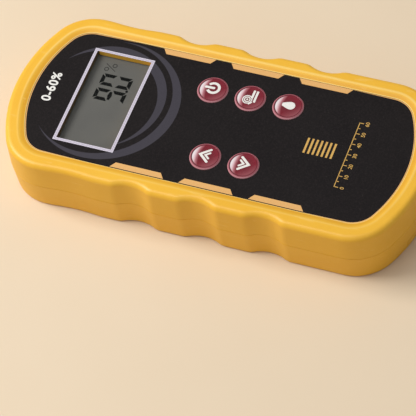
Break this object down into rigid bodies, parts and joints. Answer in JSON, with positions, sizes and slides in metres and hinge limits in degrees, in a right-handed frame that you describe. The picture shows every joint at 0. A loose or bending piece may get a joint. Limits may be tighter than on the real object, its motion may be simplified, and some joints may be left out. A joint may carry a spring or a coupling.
{
  "type": "moisture meter",
  "caption": "Hand-held pinless moisture meter with a scalloped two-part case, printed face, digital display, sprung keys and a sliding battery door.",
  "frame": {"origin": "middle of the resting face, directly under the middle of the case outline", "axes": "+Y towards the display end, +Z out of the face, +X to the right when the display is read upright"},
  "size_m": [0.0738, 0.164, 0.025],
  "materials": {
    "case_yellow": "satin moulded amber-yellow plastic",
    "face_black": "fine-grained printed film",
    "window_clear": "clear film window",
    "frame_lilac": "printed border",
    "foam_black": "closed-cell foam",
    "lcd_glass": "grey-green liquid-crystal cell",
    "reflector_silver": "diffuse reflector foil",
    "holder_white": "moulded frame",
    "strip_rubber": "layered elastomer strip",
    "board_green": "solder-masked laminate",
    "chip_black": "moulded component",
    "chip_tan": "ceramic chip",
    "can_metal": "plated can",
    "trimmer_blue": "moulded trimmer",
    "ferrite": "ferrite core",
    "copper": "bare copper",
    "sensor_black": "satin moulded plate",
    "brass_pin": "turned and plated",
    "cell_wrap": "shrink-wrapped steel can",
    "contact_nickel": "nickel-plated spring steel",
    "screw_steel": "zinc-plated",
    "switch_black": "moulded switch body",
    "key_red": "glossy burgundy key cap",
    "plunger_grey": "moulded plunger"
  },
  "bodies": {
    "housing": {"front_case": "case_yellow", "rear_case": "case_yellow", "face_sheet": "face_black", "display_window": "window_clear", "display_frame": "frame_lilac", "display_gasket": "foam_black", "display_glass": "lcd_glass", "display_reflector": "reflector_silver", "display_holder": "holder_white", "contact_strip_upper": "strip_rubber", "contact_strip_lower": "strip_rubber", "main_board": "board_green", "microcontroller": "chip_black", "crystal": "can_metal", "voltage_regulator": "chip_black", "trimmer": "trimmer_blue", "sensor_coil": "ferrite", "coil_winding": "copper", "buzzer": "chip_black", "filter_capacitor": "can_metal", "chip_resistors": "chip_black", "chip_capacitors": "chip_tan", "sensor_plate": "sensor_black", "sensor_electrode": "copper", "contact_pin": "brass_pin", "battery_cell_1": "cell_wrap", "battery_cell_2": "cell_wrap", "battery_cell_3": "cell_wrap", "battery_cell_4": "cell_wrap", "battery_contact_positive": "contact_nickel", "battery_contact_negative": "contact_nickel", "battery_bridge_head": "contact_nickel", "battery_bridge_tail_left": "contact_nickel", "battery_bridge_tail_right": "contact_nickel", "case_screws": "screw_steel", "board_screws": "screw_steel", "power_switch": "switch_black", "species_switch": "switch_black", "hold_switch": "switch_black", "up_switch": "switch_black", "down_switch": "switch_black"},
    "power_key": {"power_key": "key_red", "power_plunger": "plunger_grey"},
    "species_key": {"species_key": "key_red", "species_plunger": "plunger_grey"},
    "hold_key": {"hold_key": "key_red", "hold_plunger": "plunger_grey"},
    "up_key": {"up_key": "key_red", "up_plunger": "plunger_grey"},
    "down_key": {"down_key": "key_red", "down_plunger": "plunger_grey"},
    "battery_door": {"battery_door": "case_yellow", "battery_foam": "foam_black"}
  },
  "joints": [
    {"name": "power_press", "type": "slide", "parent": "housing", "child": "power_key", "axis": [0, 0, -1], "range_m": [0, 0.0004], "stiffness_N_per_m": 4000, "springref_m": -0.0001},
    {"name": "species_press", "type": "slide", "parent": "housing", "child": "species_key", "axis": [0, 0, -1], "range_m": [0, 0.0004], "stiffness_N_per_m": 4000, "springref_m": -0.0001},
    {"name": "hold_press", "type": "slide", "parent": "housing", "child": "hold_key", "axis": [0, 0, -1], "range_m": [0, 0.0004], "stiffness_N_per_m": 4000, "springref_m": -0.0001},
    {"name": "up_press", "type": "slide", "parent": "housing", "child": "up_key", "axis": [0, 0, -1], "range_m": [0, 0.0004], "stiffness_N_per_m": 4000, "springref_m": -0.0001},
    {"name": "down_press", "type": "slide", "parent": "housing", "child": "down_key", "axis": [0, 0, -1], "range_m": [0, 0.0004], "stiffness_N_per_m": 4000, "springref_m": -0.0001},
    {"name": "battery_door_slide", "type": "slide", "parent": "housing", "child": "battery_door", "axis": [0, -1, 0], "range_m": [0, 0.054]}
  ]
}
